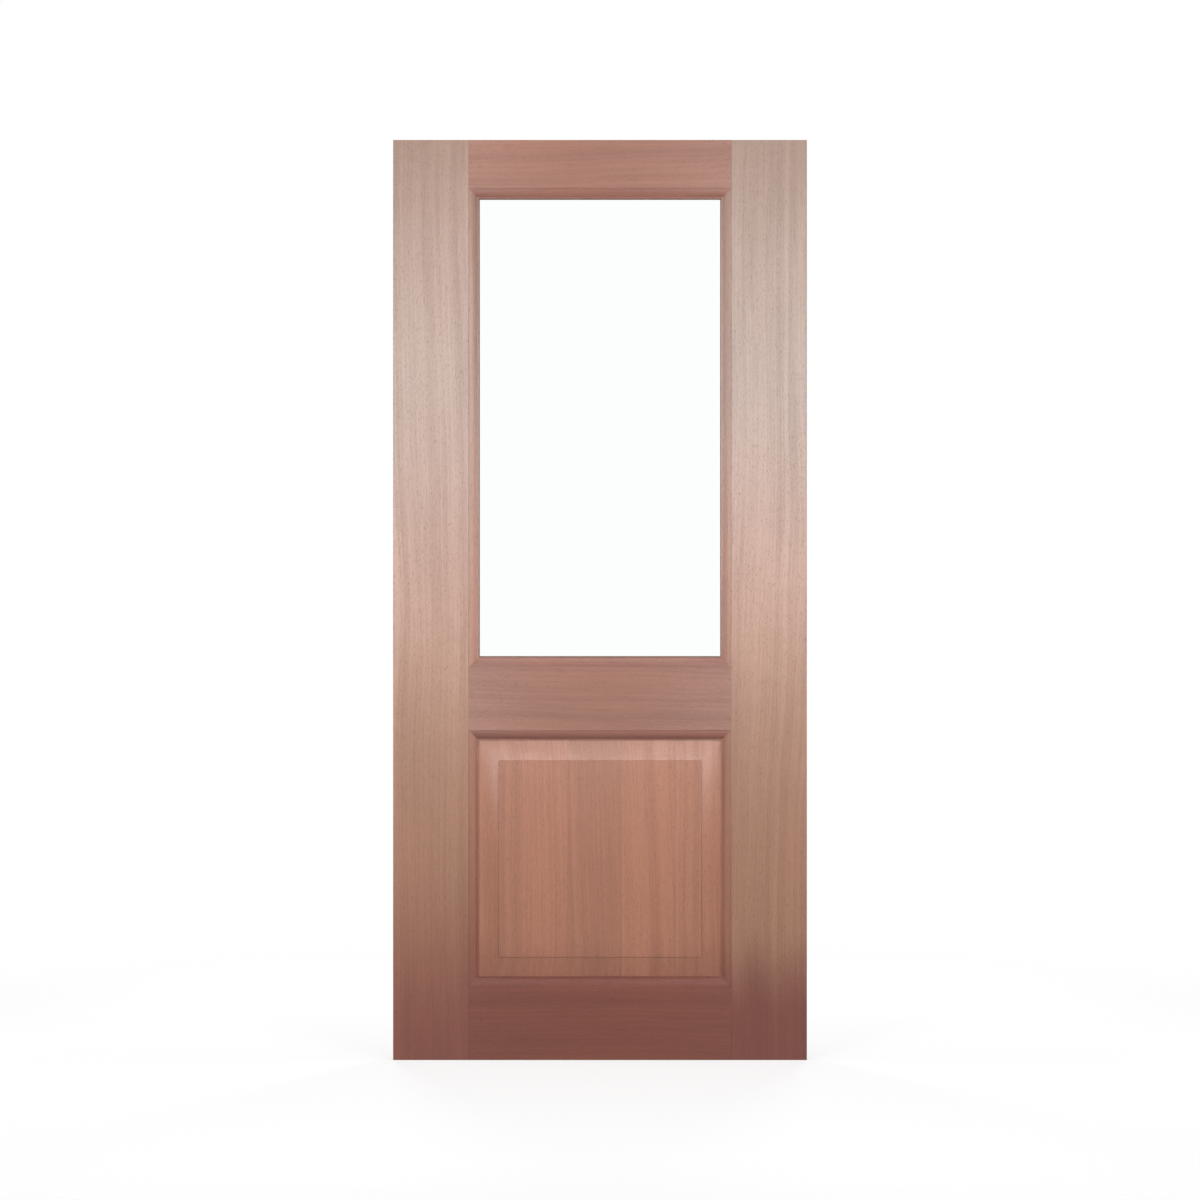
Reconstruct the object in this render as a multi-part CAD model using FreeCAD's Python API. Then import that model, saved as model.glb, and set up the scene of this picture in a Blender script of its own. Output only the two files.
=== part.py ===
import FreeCAD, Part
import math
import os

from FreeCAD import Vector

# A half glazed external door leaf in solid hardwood, as hung from its hinge stile.
#
# Two full-height stiles and three rails make the frame of the leaf. Every inner arris carries the same
# thumb moulding. The rails are scribed over the moulding of the stiles and held by through tenons, each
# tightened by two wedges that show on the edge of the leaf. Below the lock rail a raised and fielded panel
# stands in a groove. Above it one pane of safety glass lies in a rebate that is open to the back, on two
# setting blocks, between strips of glazing tape, and four mitred beads hold it.
#
# Frame: X runs across the leaf from the hinge edge, Y from the moulded front to the beaded back, Z up.
# The origin is on the hinge edge, at the foot of the leaf and in the middle of its thickness.

# Leaf, stiles and rails. Stiles and rails are measured to the sight line, over the moulding.
LEAF_WIDTH = 914.0
LEAF_HEIGHT = 2032.0
LEAF_THICKNESS = 44.0
STILE_WIDTH = 189.0
TOP_RAIL_HEIGHT = 128.0
LOCK_RAIL_HEIGHT = 184.0
BOTTOM_RAIL_HEIGHT = 183.0
PANEL_SIGHT_HEIGHT = 523.0
ARRIS_RADIUS = 1.5

# Thumb moulding: a quirk below the face, a long curve, and a flat fillet at the sight line.
MOULDING_WIDTH = 22.0
QUIRK_DEPTH = 2.0
FILLET_WIDTH = 3.0
FILLET_DEPTH = 12.0

# Groove for the panel. The tenons are as thick as the groove is wide.
GROOVE_WIDTH = 14.0
GROOVE_DEPTH = 12.0

# Through tenons and their wedges.
TOP_TENON_HEIGHT = 56.0
PAIRED_TENON_HEIGHT = 50.0
TENON_MARGIN = 8.0
FOOT_HAUNCH = 34.0
WEDGE_LENGTH = 120.0
WEDGE_BUTT = 6.0
WEDGE_TIP = 1.0

# Raised and fielded panel.
PANEL_SIDE_GAP = 2.0
PANEL_TOP_GAP = 3.0
PANEL_CHEEK_GAP = 0.25
TONGUE_SHOW = 2.0
FIELD_MARGIN = 44.0
FIELD_SHOULDER = 2.5
FIELD_RECESS = 5.0

# Glazing.
GLASS_THICKNESS = 6.0
GLASS_EDGE_GAP = 3.0
TAPE_THICKNESS = 2.0
TAPE_WIDTH = 15.0
TAPE_SETBACK = 1.5
BLOCK_LENGTH = 80.0
BLOCK_FROM_CORNER = 110.0

# Worked out from the values above. The rebate is as deep as the moulding is wide, so that the beads at the
# back repeat the moulding.
REBATE_DEPTH = MOULDING_WIDTH
HALF = LEAF_THICKNESS / 2
GROOVE_HALF = GROOVE_WIDTH / 2
SIGHT_LEFT = STILE_WIDTH
SIGHT_RIGHT = LEAF_WIDTH - STILE_WIDTH
PANEL_SIGHT_LOW = BOTTOM_RAIL_HEIGHT
PANEL_SIGHT_HIGH = PANEL_SIGHT_LOW + PANEL_SIGHT_HEIGHT
GLASS_SIGHT_LOW = PANEL_SIGHT_HIGH + LOCK_RAIL_HEIGHT
GLASS_SIGHT_HIGH = LEAF_HEIGHT - TOP_RAIL_HEIGHT
REBATE_WALL = -GROOVE_HALF
GLASS_FRONT = REBATE_WALL + TAPE_THICKNESS
GLASS_BACK = GLASS_FRONT + GLASS_THICKNESS
BEAD_FRONT = GLASS_BACK + TAPE_THICKNESS
OVERRUN = 1.0


def box(low, high):
    """A box between two opposite corners."""
    size = [b - a for a, b in zip(low, high)]
    return Part.makeBox(*size, Vector(*low))


def polygon_face(points):
    """A flat face with straight sides through the given 3-D points."""
    return Part.Face(Part.makePolygon(points + points[:1]))


def joined(shapes):
    """One solid from solids that overlap or meet."""
    whole = shapes[0].fuse(shapes[1:]).removeSplitter()
    return whole.Solids[0] if len(whole.Solids) == 1 else whole


def mirrored(shape):
    """The same piece at the other side of the leaf."""
    return shape.mirror(Vector(LEAF_WIDTH / 2, 0, 0), Vector(1, 0, 0))


def save(name, shape):
    """Writes one named piece as a STEP file."""
    shape.exportStep("parts/" + name + ".step")


# Edge profiles. A profile is a list of runs from the front face to the back face, in section coordinates:
# u is the distance from the sight line into the wood, y is the leaf's own Y.
# A run is two points for a straight line, or three for an arc.


def moulding_runs(side):
    """The thumb moulding from the front face (side -1) or the back face (side 1) down to the sight line."""
    run = MOULDING_WIDTH - FILLET_WIDTH
    rise = FILLET_DEPTH - QUIRK_DEPTH
    radius = (run**2 + rise**2) / (2 * rise)
    half_turn = math.asin(run / radius) / 2

    def at(u, depth):
        return (u, side * (HALF - depth))

    face = at(MOULDING_WIDTH, 0)
    quirk = at(MOULDING_WIDTH, QUIRK_DEPTH)
    on_curve = at(
        MOULDING_WIDTH - radius * math.sin(half_turn),
        QUIRK_DEPTH + radius * (1 - math.cos(half_turn)),
    )
    curve_end = at(FILLET_WIDTH, FILLET_DEPTH)
    fillet_end = at(0, FILLET_DEPTH)
    return [(face, quirk), (quirk, on_curve, curve_end), (curve_end, fillet_end)]


def reverse_runs(runs):
    """The same runs walked the other way."""
    return [tuple(reversed(run)) for run in reversed(runs)]


def straight_runs(points):
    """Straight lines through the points."""
    return list(zip(points, points[1:]))


def panel_edge():
    """A moulding on both faces with the panel groove between them."""
    front, back = moulding_runs(-1), moulding_runs(1)
    groove = [
        front[-1][-1],
        (0, -GROOVE_HALF),
        (GROOVE_DEPTH, -GROOVE_HALF),
        (GROOVE_DEPTH, GROOVE_HALF),
        (0, GROOVE_HALF),
        back[-1][-1],
    ]
    return front + straight_runs(groove) + reverse_runs(back)


def glass_edge():
    """The moulding on the front, and a rebate that is open to the back."""
    front = moulding_runs(-1)
    rebate = [front[-1][-1], (0, REBATE_WALL), (REBATE_DEPTH, REBATE_WALL), (REBATE_DEPTH, HALF)]
    return front + straight_runs(rebate)


def square_edge(width):
    """A plain outer edge, at the full width of the piece."""
    return straight_runs([(width, -HALF), (width, HALF)])


def eased_edge(width):
    """An outer edge with both arrises rounded."""
    r = ARRIS_RADIUS
    nick = r * (1 - math.sqrt(0.5))
    front = ((width - r, -HALF), (width - nick, -HALF + nick), (width, -HALF + r))
    back = ((width, HALF - r), (width - nick, HALF - nick), (width - r, HALF))
    return [front, (front[-1], back[0]), back]


def edges(runs, place):
    """The lines and arcs of a profile, with place(u, y) giving the point in space."""
    made = []
    for run in runs:
        points = [place(u, y) for u, y in run]
        curve = Part.LineSegment(*points) if len(points) == 2 else Part.Arc(*points)
        made.append(curve.toShape())
    return made


def section(edge_a, place_a, edge_b, place_b):
    """A closed face between two edge profiles, each put in space by its own place(u, y)."""
    outline = edges(edge_a, place_a) + edges(edge_b, place_b)
    for end in (0, -1):
        from_a = place_a(*edge_a[end][end])
        from_b = place_b(*edge_b[end][end])
        outline.append(Part.LineSegment(from_a, from_b).toShape())
    return Part.Face(Part.Wire(Part.__sortEdges__(outline)))


def moulded_stile():
    """The hinge stile before it is mortised and rebated: the panel edge runs along its whole length."""

    def place(u, y):
        return Vector(STILE_WIDTH - u, y, 0)

    return section(panel_edge(), place, eased_edge(STILE_WIDTH), place).extrude(Vector(0, 0, LEAF_HEIGHT))


def rail_bar(low_edge, low_sight, high_edge, high_sight):
    """A moulded rail that reaches from the moulding's outer line on one stile to that on the other. Each
    edge's sight height is where its u is nothing, and u runs into the wood."""
    start = STILE_WIDTH - MOULDING_WIDTH

    def low(u, y):
        return Vector(start, y, low_sight + u)

    def high(u, y):
        return Vector(start, y, high_sight - u)

    return section(low_edge, low, high_edge, high).extrude(Vector(LEAF_WIDTH - 2 * start, 0, 0))


def tenon_spans():
    """The heights of the tenons of each rail, as (lowest, highest) pairs from the top of the rail down."""
    top_low = GLASS_SIGHT_HIGH + REBATE_DEPTH + TENON_MARGIN
    lock_low = PANEL_SIGHT_HIGH + GROOVE_DEPTH + TENON_MARGIN
    lock_high = GLASS_SIGHT_LOW - REBATE_DEPTH - TENON_MARGIN
    bottom_high = PANEL_SIGHT_LOW - GROOVE_DEPTH - TENON_MARGIN
    return {
        "top_rail": [(top_low, top_low + TOP_TENON_HEIGHT)],
        "lock_rail": [
            (lock_high - PAIRED_TENON_HEIGHT, lock_high),
            (lock_low, lock_low + PAIRED_TENON_HEIGHT),
        ],
        "bottom_rail": [
            (bottom_high - PAIRED_TENON_HEIGHT, bottom_high),
            (FOOT_HAUNCH, FOOT_HAUNCH + PAIRED_TENON_HEIGHT),
        ],
    }


def tenon_bar(span):
    """One tenon as a bar from edge to edge of the leaf, so that it shows at both ends of its rail."""
    return box((0, -GROOVE_HALF, span[0]), (LEAF_WIDTH, GROOVE_HALF, span[1]))


def wedges(span):
    """The two wedges of a tenon at the hinge edge, the upper one first."""
    made = []
    for seat, away in ((span[1], 1), (span[0], -1)):
        profile = [
            Vector(0, -GROOVE_HALF, seat),
            Vector(0, -GROOVE_HALF, seat + away * WEDGE_BUTT),
            Vector(WEDGE_LENGTH, -GROOVE_HALF, seat + away * WEDGE_TIP),
            Vector(WEDGE_LENGTH, -GROOVE_HALF, seat),
        ]
        made.append(polygon_face(profile).extrude(Vector(0, GROOVE_WIDTH, 0)))
    return made


def hinge_stile(wedge_list, tenons):
    """The stile with the rebate for the glass and the flared mortices."""
    rebate = box(
        (STILE_WIDTH - REBATE_DEPTH, REBATE_WALL, GLASS_SIGHT_LOW - REBATE_DEPTH),
        (STILE_WIDTH + OVERRUN, HALF + OVERRUN, GLASS_SIGHT_HIGH + REBATE_DEPTH),
    )
    return moulded_stile().cut([rebate] + tenons + wedge_list).removeSplitter().Solids[0]


def rails(stiles, spans):
    """The three rails, scribed over the moulding of the stiles and carrying their tenons."""
    bars = {
        "top_rail": rail_bar(glass_edge(), GLASS_SIGHT_HIGH, square_edge(0), LEAF_HEIGHT),
        "lock_rail": rail_bar(panel_edge(), PANEL_SIGHT_HIGH, glass_edge(), GLASS_SIGHT_LOW),
        "bottom_rail": rail_bar(square_edge(0), 0, panel_edge(), PANEL_SIGHT_LOW),
    }
    return {
        name: joined([bar.cut(stiles)] + [tenon_bar(span) for span in spans[name]])
        for name, bar in bars.items()
    }


def panel_slopes(foot, crest):
    """The four bevels of the panel's back, as one block that narrows from the tongue to the field. Foot and
    crest are its depths at the wide and at the narrow end."""
    return Part.makeWedge(
        SIGHT_LEFT + TONGUE_SHOW,
        foot,
        PANEL_SIGHT_LOW + TONGUE_SHOW,
        PANEL_SIGHT_LOW + FIELD_MARGIN,
        SIGHT_LEFT + FIELD_MARGIN,
        SIGHT_RIGHT - TONGUE_SHOW,
        crest,
        PANEL_SIGHT_HIGH - TONGUE_SHOW,
        PANEL_SIGHT_HIGH - FIELD_MARGIN,
        SIGHT_RIGHT - FIELD_MARGIN,
    )


def raised_panel():
    """A panel with a tongue all round, a bevel up from it on both faces, and a raised field."""
    tongue = GROOVE_HALF - PANEL_CHEEK_GAP
    field = HALF - FIELD_RECESS
    side_grip = GROOVE_DEPTH - PANEL_SIDE_GAP
    slab = box(
        (SIGHT_LEFT - side_grip, -tongue, PANEL_SIGHT_LOW - GROOVE_DEPTH),
        (SIGHT_RIGHT + side_grip, tongue, PANEL_SIGHT_HIGH + GROOVE_DEPTH - PANEL_TOP_GAP),
    )
    raised_field = box(
        (SIGHT_LEFT + FIELD_MARGIN, -field, PANEL_SIGHT_LOW + FIELD_MARGIN),
        (SIGHT_RIGHT - FIELD_MARGIN, field, PANEL_SIGHT_HIGH - FIELD_MARGIN),
    )
    back_slopes = panel_slopes(tongue, field - FIELD_SHOULDER)
    front_slopes = back_slopes.mirror(Vector(0, 0, 0), Vector(0, 1, 0))
    return joined([slab, back_slopes, front_slopes, raised_field])


def glass_pane():
    """The pane, clear of the bottom of the rebate all round."""
    cover = REBATE_DEPTH - GLASS_EDGE_GAP
    return box(
        (SIGHT_LEFT - cover, GLASS_FRONT, GLASS_SIGHT_LOW - cover),
        (SIGHT_RIGHT + cover, GLASS_BACK, GLASS_SIGHT_HIGH + cover),
    )


def setting_block():
    """The block under the pane near the hinge stile."""
    start = SIGHT_LEFT - REBATE_DEPTH + BLOCK_FROM_CORNER
    floor = GLASS_SIGHT_LOW - REBATE_DEPTH
    return box(
        (start, REBATE_WALL, floor),
        (start + BLOCK_LENGTH, BEAD_FRONT, floor + GLASS_EDGE_GAP),
    )


def tape_strips(front):
    """Four strips of glazing tape round the opening. The uprights run past the level ones."""
    back = front + TAPE_THICKNESS
    near, far = TAPE_SETBACK, TAPE_SETBACK + TAPE_WIDTH
    upright = box(
        (SIGHT_LEFT - far, front, GLASS_SIGHT_LOW - far),
        (SIGHT_LEFT - near, back, GLASS_SIGHT_HIGH + far),
    )
    low = box(
        (SIGHT_LEFT - near, front, GLASS_SIGHT_LOW - far),
        (SIGHT_RIGHT + near, back, GLASS_SIGHT_LOW - near),
    )
    high = box(
        (SIGHT_LEFT - near, front, GLASS_SIGHT_HIGH + near),
        (SIGHT_RIGHT + near, back, GLASS_SIGHT_HIGH + far),
    )
    return {"hinge_side": upright, "lock_side": mirrored(upright), "bottom": low, "top": high}


def bead_face(place):
    """The bead's section: the thumb moulding over a plain back, with its foot on the glazing tape."""
    quirk, curve, fillet = moulding_runs(1)
    foot = [(0, BEAD_FRONT), (REBATE_DEPTH, BEAD_FRONT), quirk[1]]
    runs = [curve, fillet] + straight_runs([fillet[-1]] + foot)
    return Part.Face(Part.Wire(edges(runs, place)))


def mitred_bead(place, run, corners):
    """A moulded bar along the vector run, cut to the four corners of its side of a mitred frame."""
    footprint = polygon_face([Vector(x, BEAD_FRONT, z) for x, z in corners])
    return bead_face(place).extrude(run).common(footprint.extrude(Vector(0, HALF - BEAD_FRONT, 0)))


def beads():
    """The four beads, mitred together at the corners of the rebate."""
    left, right = SIGHT_LEFT - REBATE_DEPTH, SIGHT_RIGHT + REBATE_DEPTH
    low, high = GLASS_SIGHT_LOW - REBATE_DEPTH, GLASS_SIGHT_HIGH + REBATE_DEPTH
    across = Vector(right - left, 0, 0)
    upward = Vector(0, 0, high - low)
    low_corners = [(left, low), (right, low), (SIGHT_RIGHT, GLASS_SIGHT_LOW), (SIGHT_LEFT, GLASS_SIGHT_LOW)]
    high_corners = [
        (left, high),
        (right, high),
        (SIGHT_RIGHT, GLASS_SIGHT_HIGH),
        (SIGHT_LEFT, GLASS_SIGHT_HIGH),
    ]
    near_corners = [low_corners[0], high_corners[0], high_corners[3], low_corners[3]]
    made = {
        "bottom": mitred_bead(lambda u, y: Vector(left, y, GLASS_SIGHT_LOW - u), across, low_corners),
        "top": mitred_bead(lambda u, y: Vector(left, y, GLASS_SIGHT_HIGH + u), across, high_corners),
        "hinge_side": mitred_bead(lambda u, y: Vector(SIGHT_LEFT - u, y, low), upward, near_corners),
    }
    made["lock_side"] = mirrored(made["hinge_side"])
    return made


def main():
    os.makedirs("parts", exist_ok=True)

    spans = tenon_spans()
    all_spans = [span for rail_spans in spans.values() for span in rail_spans]
    tenons = [tenon_bar(span) for span in all_spans]
    wedge_list = [wedge for span in all_spans for wedge in wedges(span)]

    plain_stile = moulded_stile()
    stile = hinge_stile(wedge_list, tenons)
    save("hinge_stile", stile)
    save("lock_stile", mirrored(stile))
    for name, rail in rails([plain_stile, mirrored(plain_stile)], spans).items():
        save(name, rail)
    for number, wedge in enumerate(wedge_list, 1):
        save(f"hinge_stile_wedge_{number:02d}", wedge)
        save(f"lock_stile_wedge_{number:02d}", mirrored(wedge))

    save("raised_panel", raised_panel())

    save("glass_pane", glass_pane())
    save("setting_block_hinge_side", setting_block())
    save("setting_block_lock_side", mirrored(setting_block()))
    for name, strip in tape_strips(REBATE_WALL).items():
        save("front_tape_" + name, strip)
    for name, strip in tape_strips(GLASS_BACK).items():
        save("back_tape_" + name, strip)
    for name, bead in beads().items():
        save("bead_" + name, bead)


main()
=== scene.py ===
# %% [markdown]
# # A half glazed hardwood door leaf
#
# The leaf is joiner's work: two stiles and three rails with a thumb moulding round each opening, a
# raised and fielded panel below and one clear pane above. The packed solids give every size. This file
# gives the leaf its timber, its varnish, its glass and the small things that the solids leave out.
#
# Lengths are metres. X runs across the leaf from the hinge edge, Y from the moulded front to the beaded
# back, and Z up. Colours are linear red, green and blue.

import math

import bmesh
import bpy
import numpy as np
from mathutils import Euler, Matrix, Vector


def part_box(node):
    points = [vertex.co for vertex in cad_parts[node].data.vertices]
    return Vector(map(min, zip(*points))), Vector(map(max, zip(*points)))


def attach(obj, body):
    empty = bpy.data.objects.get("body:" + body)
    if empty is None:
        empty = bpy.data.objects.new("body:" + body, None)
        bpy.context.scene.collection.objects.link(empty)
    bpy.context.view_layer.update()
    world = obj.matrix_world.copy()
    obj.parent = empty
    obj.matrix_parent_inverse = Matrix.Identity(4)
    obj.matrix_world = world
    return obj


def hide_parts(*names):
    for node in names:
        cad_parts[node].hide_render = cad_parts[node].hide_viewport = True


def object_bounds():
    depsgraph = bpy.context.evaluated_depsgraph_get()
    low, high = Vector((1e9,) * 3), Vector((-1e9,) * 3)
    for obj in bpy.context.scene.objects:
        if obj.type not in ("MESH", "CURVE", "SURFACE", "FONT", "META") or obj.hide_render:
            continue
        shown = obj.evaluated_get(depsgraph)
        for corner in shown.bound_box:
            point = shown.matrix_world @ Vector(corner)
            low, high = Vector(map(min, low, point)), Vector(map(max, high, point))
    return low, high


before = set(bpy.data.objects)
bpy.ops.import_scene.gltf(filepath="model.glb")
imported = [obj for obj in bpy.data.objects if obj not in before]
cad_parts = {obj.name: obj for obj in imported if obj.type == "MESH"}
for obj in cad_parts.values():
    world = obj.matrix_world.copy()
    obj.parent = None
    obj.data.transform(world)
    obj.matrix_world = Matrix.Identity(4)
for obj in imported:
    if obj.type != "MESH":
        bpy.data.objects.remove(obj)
scene = bpy.context.scene
cad_low, cad_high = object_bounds()
LEAF_CENTRE = (cad_low + cad_high) / 2
MM = 0.001
print("leaf", [round(v, 3) for v in cad_high - cad_low], "with", len(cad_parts), "nodes")

# %% [markdown]
# ## A recipe writer
#
# Every finish below is a procedural material: a chain of nodes worked out from the place on the leaf,
# with no picture behind it. Adding nodes one by one takes many lines, so a small helper adds one node
# per step and hands back its output for the next step.


# %% Recipe helper
class Recipe:
    """A material or a world written as steps. Each step adds one node and returns one of its outputs."""

    def __init__(self, owner):
        self.owner = owner if isinstance(owner, bpy.types.ID) else bpy.data.materials.new(owner)
        self.owner.use_nodes = True
        self.tree = self.owner.node_tree
        self.tree.nodes.clear()

    def step(self, kind, inputs, out=0, **settings):
        """One node. An input is a plain value or the output of an earlier step."""
        node = self.tree.nodes.new("ShaderNode" + kind)
        for name, value in settings.items():
            setattr(node, name, value)
        for name, value in inputs.items():
            if isinstance(value, bpy.types.NodeSocket):
                self.tree.links.new(value, node.inputs[name])
            else:
                node.inputs[name].default_value = value
        return node.outputs[out]

    def sum(self, operation, a, b=0.0, c=0.0):
        """One sum on plain numbers."""
        return self.step("Math", {0: a, 1: b, 2: c}, operation=operation)

    def added(self, *parts):
        """Each part times its share, added up."""
        total = 0.0
        for part, share in parts:
            total = self.sum("MULTIPLY_ADD", part, share, total)
        return total

    def spread(self, value, low, high, to_low=0.0, to_high=1.0):
        """Carries the stretch of a value from low to high over to to_low and to_high, with soft ends."""
        inputs = {0: value, 1: low, 2: high, 3: to_low, 4: to_high}
        return self.step("MapRange", inputs, interpolation_type="SMOOTHSTEP")

    def arrow(self, operation, a, b=(0.0, 0.0, 0.0), out=0):
        """One sum on vectors."""
        return self.step("VectorMath", {0: a, 1: b}, out=out, operation=operation)

    def scaled(self, vector, share):
        """A vector or colour times one number."""
        return self.step("VectorMath", {0: vector, 3: share}, operation="SCALE")

    def blend(self, share, a, b):
        """Colour a where share is 0 and colour b where it is 1."""
        return self.step("Mix", {0: share, 6: a, 7: b}, out=2, data_type="RGBA")

    def tinted(self, share, colour, tint):
        """The colour where share is 0, and the colour times the tint where it is 1."""
        return self.blend(share, colour, self.arrow("MULTIPLY", colour, tint))

    def noise(self, vector, scale, detail=2.0, rough=0.5, out="Fac"):
        """Smooth noise in space, with about this many bumps to a metre."""
        inputs = {"Vector": vector, "Scale": scale, "Detail": detail, "Roughness": rough}
        return self.step("TexNoise", inputs, out=out)

    def noise_along(self, value, scale, detail):
        """Noise that depends on one number, such as the distance from the heart of the log."""
        inputs = {"W": value, "Scale": scale, "Detail": detail}
        return self.step("TexNoise", inputs, noise_dimensions="1D")

    def relief(self, height, strength, distance):
        """Makes a surface catch the light as if it stood height times distance proud."""
        inputs = {"Strength": strength, "Distance": distance, "Height": height}
        return self.step("Bump", inputs, out="Normal")

    def finish(self, shader):
        """Ends the recipe with the shader that shows."""
        kind = "World" if isinstance(self.owner, bpy.types.World) else "Material"
        end = self.tree.nodes.new("ShaderNodeOutput" + kind)
        self.tree.links.new(shader, end.inputs["Surface"])
        return self.owner


print("a recipe knows", [word for word in vars(Recipe) if not word.startswith("_")])

# %% [markdown]
# ## What a finish asks of the surface
#
# Sawn ends take more colour than faces, mouldings get painted shade and boards painted shade and sheen
# along their height, so a finish asks where a point lies and which way the surface looks there.
# Painting a mask by hand would answer that for one size of leaf only. Object coordinates and the
# surface's own direction answer it for any, because every piece keeps its object at the origin. The
# kind of ray tells glass and floor whether an eye, a mirror image or a lamp is asking.


# %% Place, facing and rays
def place_on_leaf(r):
    """The place on the leaf, in metres."""
    return r.step("TexCoord", {}, out="Object")


def coordinate(r, number):
    """The place's X, Y or Z, for the number 0, 1 or 2."""
    return r.step("SeparateXYZ", {0: place_on_leaf(r)}, out=number)


def facing(r, axis):
    """1 where the surface looks along the axis, either way, and 0 where it looks square to it."""
    normal = r.step("NewGeometry", {}, out="Normal")
    return r.sum("ABSOLUTE", r.arrow("DOT_PRODUCT", normal, axis, out="Value"))


def rays(r, *kinds):
    """1 for rays of these kinds, such as Is Camera Ray, and 0 for the rest."""
    path = r.step("LightPath", {}).node.outputs
    share = path[kinds[0]]
    for kind in kinds[1:]:
        share = r.sum("MAXIMUM", share, path[kind])
    return share


def opaque(colour):
    """A colour with the fourth number that its socket wants."""
    return (*colour, 1.0)


print("a finish can ask for its place, its facing and the kind of ray")

# %% [markdown]
# ## Timber
#
# A board is cut from a log, so the figure on its faces is a slice through growth rings. A picture of
# wood wrapped round the leaf would be quicker, but it would repeat and would be wrong on the ends. So
# the recipe works in the log's own space: the distance from the heart gives the rings, and noise drawn
# out along the grain gives streaks, fibres and the short open pores of a red tropical hardwood. Because
# the pattern is solid, it runs round every edge of the board, and the ends show rings and dots, as sawn
# timber does.
#
# Boards of one leaf differ in tone. Each kind of board gets two colours, for pale early wood and for
# dark late wood, and the tints multiply them where the wood takes more colour and where shade and sheen
# are painted on.

# %% Tones of the timber
STILE_PALE, STILE_DARK = (0.390, 0.185, 0.109), (0.292, 0.134, 0.076)
RAIL_PALE, RAIL_DARK = (0.305, 0.118, 0.069), (0.217, 0.079, 0.044)
# The bottom rail's tones are partly a darker board and partly painted shade towards the foot.
SHADED_FOOT_PALE, SHADED_FOOT_DARK = (0.238, 0.066, 0.039), (0.175, 0.045, 0.025)
PANEL_PALE, PANEL_DARK = (0.432, 0.174, 0.098), (0.335, 0.128, 0.071)
WEDGE_PALE, WEDGE_DARK = (0.440, 0.240, 0.150), (0.330, 0.170, 0.105)
NO_TINT = (1.0, 1.0, 1.0)
PORE_TINT = (0.62, 0.50, 0.45)
END_GRAIN_TINT = (0.55, 0.48, 0.44)
# Painted shade on the mouldings, where they turn away from the face.
MOULDING_SHADE_TINT = (0.85, 0.67, 0.61)
print("late wood is", round(STILE_DARK[0] / STILE_PALE[0], 2), "times as bright as early wood")

# %% [markdown]
# ### The log behind a board
#
# Every board was sawn from its own place in its own log, a little askew. So no two boards match, and
# each needs its own log space. A Mapping node gives it: it turns the place on the leaf until the log
# stands upright, and moves it until the heart of the log is the line where X and Y are 0. The other
# way, a material for each board drawn by hand, would be the same recipe many times over.

# %% Space of the log
LOG_TURN = {"upright": 0.0, "level": 90.0}
LENGTHWISE = {"upright": (0.0, 0.0, 1.0), "level": (1.0, 0.0, 0.0)}


def log_space(r, grain, middle, lean, centre, shift):
    """The place in the log. The board's centre comes to lie at middle, seen from the heart, and the
    board leans by so many degrees. A shift, where there is one, moves the log of a part of the board."""
    turn = Euler((0, math.radians(LOG_TURN[grain] + lean), 0))
    turned_centre = Vector(centre)
    turned_centre.rotate(turn)
    start = Vector((*middle, 0)) - turned_centre
    space = r.step("Mapping", {"Vector": place_on_leaf(r), "Location": start, "Rotation": turn})
    return r.arrow("ADD", space, shift(r)) if shift else space


print("logs are turned by", LOG_TURN)

# %% [markdown]
# ### Rings, streaks and pores
#
# A growth ring is a band of pale early wood and a band of dark late wood. Good and poor years come in
# zones, and rings waver, because a trunk is no true cylinder. A wave texture would make rings as even
# as a target's, so the rings are noise on the distance from the heart, in a space that slow noise has
# bent. Streaks and pores run with the fibres: they come from a space that is squeezed along the log,
# which draws every pattern out.

# %% Figure of the log
BEND_SCALE, BEND_REACH = (1.6, 1.6, 1.1), (0.045, 0.045, 0.0)
ACROSS_THE_LOG = (1.0, 1.0, 0.0)
FIBRE_SQUEEZE, CLOUD_SQUEEZE = (1.0, 1.0, 0.022), (1.0, 1.0, 0.18)
# How many there are of each to a metre, and the share of the figure that each gives.
ZONES, RINGS, STREAKS, CLOUDS = 42.0, 190.0, 210.0, 14.0
ZONE_SHARE, RING_SHARE, STREAK_SHARE, CLOUD_SHARE = 0.30, 0.20, 0.22, 0.28
# Where the figure, added up, is late wood and where it is early wood.
LATE_WOOD, EARLY_WOOD = 0.34, 0.66


def figure(r, space):
    """A number from 0, dark late wood, to 1, pale early wood, and the space squeezed along the fibres.
    The number is zones, rings, streaks and clouds, each times its share, stretched to the full range."""
    wander = r.noise(r.arrow("MULTIPLY", space, BEND_SCALE), 1.0, out="Color")
    wander = r.arrow("SUBTRACT", wander, (0.5, 0.5, 0.5))
    bent = r.arrow("ADD", space, r.arrow("MULTIPLY", wander, BEND_REACH))
    radius = r.arrow("LENGTH", r.arrow("MULTIPLY", bent, ACROSS_THE_LOG), out="Value")
    along_fibres = r.arrow("MULTIPLY", bent, FIBRE_SQUEEZE)
    total = r.added(
        (r.noise_along(radius, ZONES, detail=1.0), ZONE_SHARE),
        (r.noise_along(radius, RINGS, detail=3.0), RING_SHARE),
        (r.noise(along_fibres, STREAKS, detail=3.0, rough=0.6), STREAK_SHARE),
        (r.noise(r.arrow("MULTIPLY", bent, CLOUD_SQUEEZE), CLOUDS), CLOUD_SHARE),
    )
    return r.spread(total, LATE_WOOD, EARLY_WOOD), along_fibres


print("a ring is about", round(1 / RINGS / MM, 1), "mm wide")

# %% Pores
PORES = 1000.0
# The squeeze of the fibres draws out 45 times, and this takes part of it back for the shorter pores.
PORE_STRETCH = (1.0, 1.0, 4.2)
# A cell whose lot lies above these is open, and a pore's edge lies this far from the cell's middle.
OPEN_CELLS, PORE_EDGE = (0.50, 0.60), (0.16, 0.34)


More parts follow.
